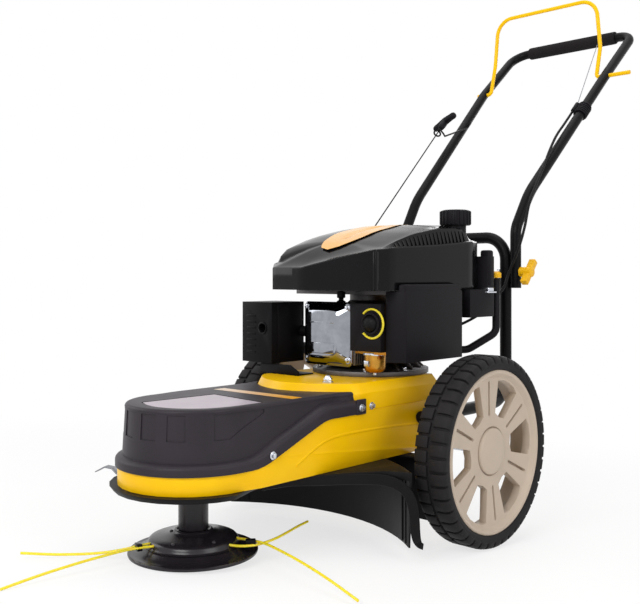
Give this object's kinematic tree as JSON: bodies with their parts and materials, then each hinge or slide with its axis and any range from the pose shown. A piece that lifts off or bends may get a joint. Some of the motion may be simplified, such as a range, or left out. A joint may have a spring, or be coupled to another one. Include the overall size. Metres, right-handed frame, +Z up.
{
  "type": "lawn mower",
  "caption": "Walk-behind petrol string trimmer mower with two large wheels, a belt-driven line head under a guard, a vertical-shaft engine and a folding tube handle with a bail.",
  "frame": {"origin": "middle of the machine's footprint box, on the ground under it", "axes": "-Y forward towards the cutting head, +Y back to the crossbar, +X the machine's left, +Z up"},
  "size_m": [0.6286, 1.592, 1.2624],
  "materials": {
    "yellow_paint": "gloss yellow powder coat",
    "black_plastic": "satin moulded black plastic",
    "black_gloss": "gloss moulded black plastic",
    "black_paint": "gloss black powder coat",
    "black_rubber": "matt black rubber",
    "tyre_rubber": "matt black tyre rubber with block tread",
    "beige_plastic": "satin beige moulded plastic",
    "bright_steel": "bright zinc plated steel",
    "grey_steel": "plain grey steel",
    "cast_aluminium": "as-cast aluminium",
    "chrome_plate": "bright chrome plate",
    "brass_plate": "yellow zinc plate",
    "yellow_plastic": "yellow moulded plastic",
    "yellow_nylon": "yellow nylon line",
    "foam": "black foam"
  },
  "bodies": {
    "chassis": {"chassis_deck": "yellow_paint", "engine_platform": "yellow_paint", "belt_cover": "black_plastic", "cover_screw_left": "bright_steel", "cover_screw_right": "bright_steel", "guard_shield": "black_plastic", "rear_flap": "black_rubber", "line_cutter": "grey_steel", "axle": "bright_steel", "drive_belt": "black_rubber", "spindle_housing": "black_paint", "spindle_bearing_lower": "bright_steel", "spindle_bearing_upper": "bright_steel", "crankcase": "cast_aluminium", "cylinder": "cast_aluminium", "valve_cover": "chrome_plate", "muffler": "black_paint", "spark_plug": "black_rubber", "carburettor": "brass_plate", "primer_housing": "black_plastic", "air_filter_cover": "black_plastic", "air_filter_element": "foam", "blower_shroud": "black_gloss", "fuel_tank": "black_plastic", "oil_fill_tube": "black_plastic", "starter_rope": "black_rubber", "control_cable": "black_rubber", "lower_handle_frame": "black_paint", "handle_bolt_left": "bright_steel", "handle_bolt_right": "bright_steel"},
    "wheel_left": {"tyre_left": "tyre_rubber", "rim_left": "beige_plastic", "hub_cap_left": "beige_plastic"},
    "wheel_right": {"tyre_right": "tyre_rubber", "rim_right": "beige_plastic", "hub_cap_right": "beige_plastic"},
    "crank": {"crankshaft": "grey_steel", "engine_pulley": "grey_steel", "flywheel": "cast_aluminium"},
    "head": {"spindle_shaft": "grey_steel", "spindle_pulley": "grey_steel", "glide_disc": "black_gloss", "head_hub": "black_gloss", "trimmer_line_left": "yellow_nylon", "trimmer_line_right": "yellow_nylon"},
    "idler": {"idler_arm": "grey_steel"},
    "idler_roller": {"idler_pulley": "black_plastic"},
    "upper_handle": {"upper_handle": "black_paint", "foam_grip": "foam", "cable_clamp": "black_plastic", "bail_wire": "grey_steel", "rope_guide": "bright_steel"},
    "bail": {"bail": "yellow_paint"},
    "knob_left": {"handle_knob_left": "yellow_plastic"},
    "knob_right": {"handle_knob_right": "yellow_plastic"},
    "starter_grip": {"starter_grip": "black_plastic"},
    "starter_drum": {"starter_drum": "black_plastic"},
    "fuel_cap": {"fuel_cap": "black_plastic"},
    "dipstick": {"oil_dipstick": "yellow_plastic"},
    "primer": {"primer_bulb": "black_rubber"}
  },
  "joints": [
    {"name": "wheel_left_spin", "type": "hinge", "parent": "chassis", "child": "wheel_left", "pos_m": [0.2222, 0.01325, 0.178], "axis": [1, 0, 0], "continuous": true},
    {"name": "wheel_right_spin", "type": "hinge", "parent": "chassis", "child": "wheel_right", "pos_m": [-0.2808, 0.01325, 0.178], "axis": [1, 0, 0], "continuous": true},
    {"name": "crank_spin", "type": "hinge", "parent": "chassis", "child": "crank", "pos_m": [-0.0293, -0.01913, 0.23367], "axis": [0, -0.077, 0.997], "continuous": true},
    {"name": "head_spin", "type": "hinge", "parent": "chassis", "child": "head", "pos_m": [-0.0293, -0.46498, 0.03274], "axis": [0, -0.077, 0.997], "continuous": true},
    {"name": "idler_arm_swing", "type": "hinge", "parent": "chassis", "child": "idler", "pos_m": [0.0627, -0.17866, 0.22135], "axis": [0, -0.077, 0.997], "range_deg": [-4.7, 0]},
    {"name": "idler_pulley_spin", "type": "hinge", "parent": "idler", "child": "idler_roller", "pos_m": [0.03792, -0.24346, 0.21635], "axis": [0, -0.077, 0.997], "continuous": true},
    {"name": "handle_fold", "type": "hinge", "parent": "chassis", "child": "upper_handle", "pos_m": [-0.0293, 0.27261, 0.53403], "axis": [1, 0, 0], "range_deg": [-75, 0], "deforming": ["control_cable"]},
    {"name": "bail_squeeze", "type": "hinge", "parent": "upper_handle", "child": "bail", "pos_m": [-0.0293, 0.62172, 1.05245], "axis": [1, 0, 0], "range_deg": [-39, 0], "stiffness_Nm_per_rad": 0.6, "springref_deg": 17.19, "deforming": ["bail_wire"]},
    {"name": "knob_left_turn", "type": "hinge", "parent": "chassis", "child": "knob_left", "pos_m": [0.135, 0.27261, 0.53403], "axis": [1, 0, 0], "continuous": true},
    {"name": "knob_right_turn", "type": "hinge", "parent": "chassis", "child": "knob_right", "pos_m": [-0.1936, 0.27261, 0.53403], "axis": [1, 0, 0], "continuous": true},
    {"name": "starter_pull", "type": "slide", "parent": "chassis", "child": "starter_grip", "axis": [-0.059, 0.6874, 0.7239], "range_m": [0, 0.3], "deforming": ["starter_rope"]},
    {"name": "starter_drum_turn", "type": "hinge", "parent": "chassis", "child": "starter_drum", "pos_m": [-0.0293, -0.04115, 0.51882], "axis": [0, -0.077, 0.997], "range_deg": [0, 492]},
    {"name": "fuel_cap_turn", "type": "hinge", "parent": "chassis", "child": "fuel_cap", "pos_m": [0.0887, 0.08379, 0.61523], "axis": [0, -0.077, 0.997], "continuous": true},
    {"name": "dipstick_turn", "type": "hinge", "parent": "chassis", "child": "dipstick", "pos_m": [0.1287, 0.18388, 0.51414], "axis": [0, -0.077, 0.997], "continuous": true},
    {"name": "primer_press", "type": "slide", "parent": "chassis", "child": "primer", "axis": [0, 0.997, 0.077], "range_m": [0, 0.006], "stiffness_N_per_m": 300, "springref_m": -0.002}
  ],
  "couplings": [
    {"joint": "head_spin", "follows": "crank_spin", "ratio": 0.8158},
    {"joint": "idler_pulley_spin", "follows": "crank_spin", "ratio": -1.7222},
    {"joint": "idler_arm_swing", "follows": "bail_squeeze", "ratio": 0.12},
    {"joint": "starter_drum_turn", "follows": "starter_pull", "rad_per_m": 28.571}
  ]
}
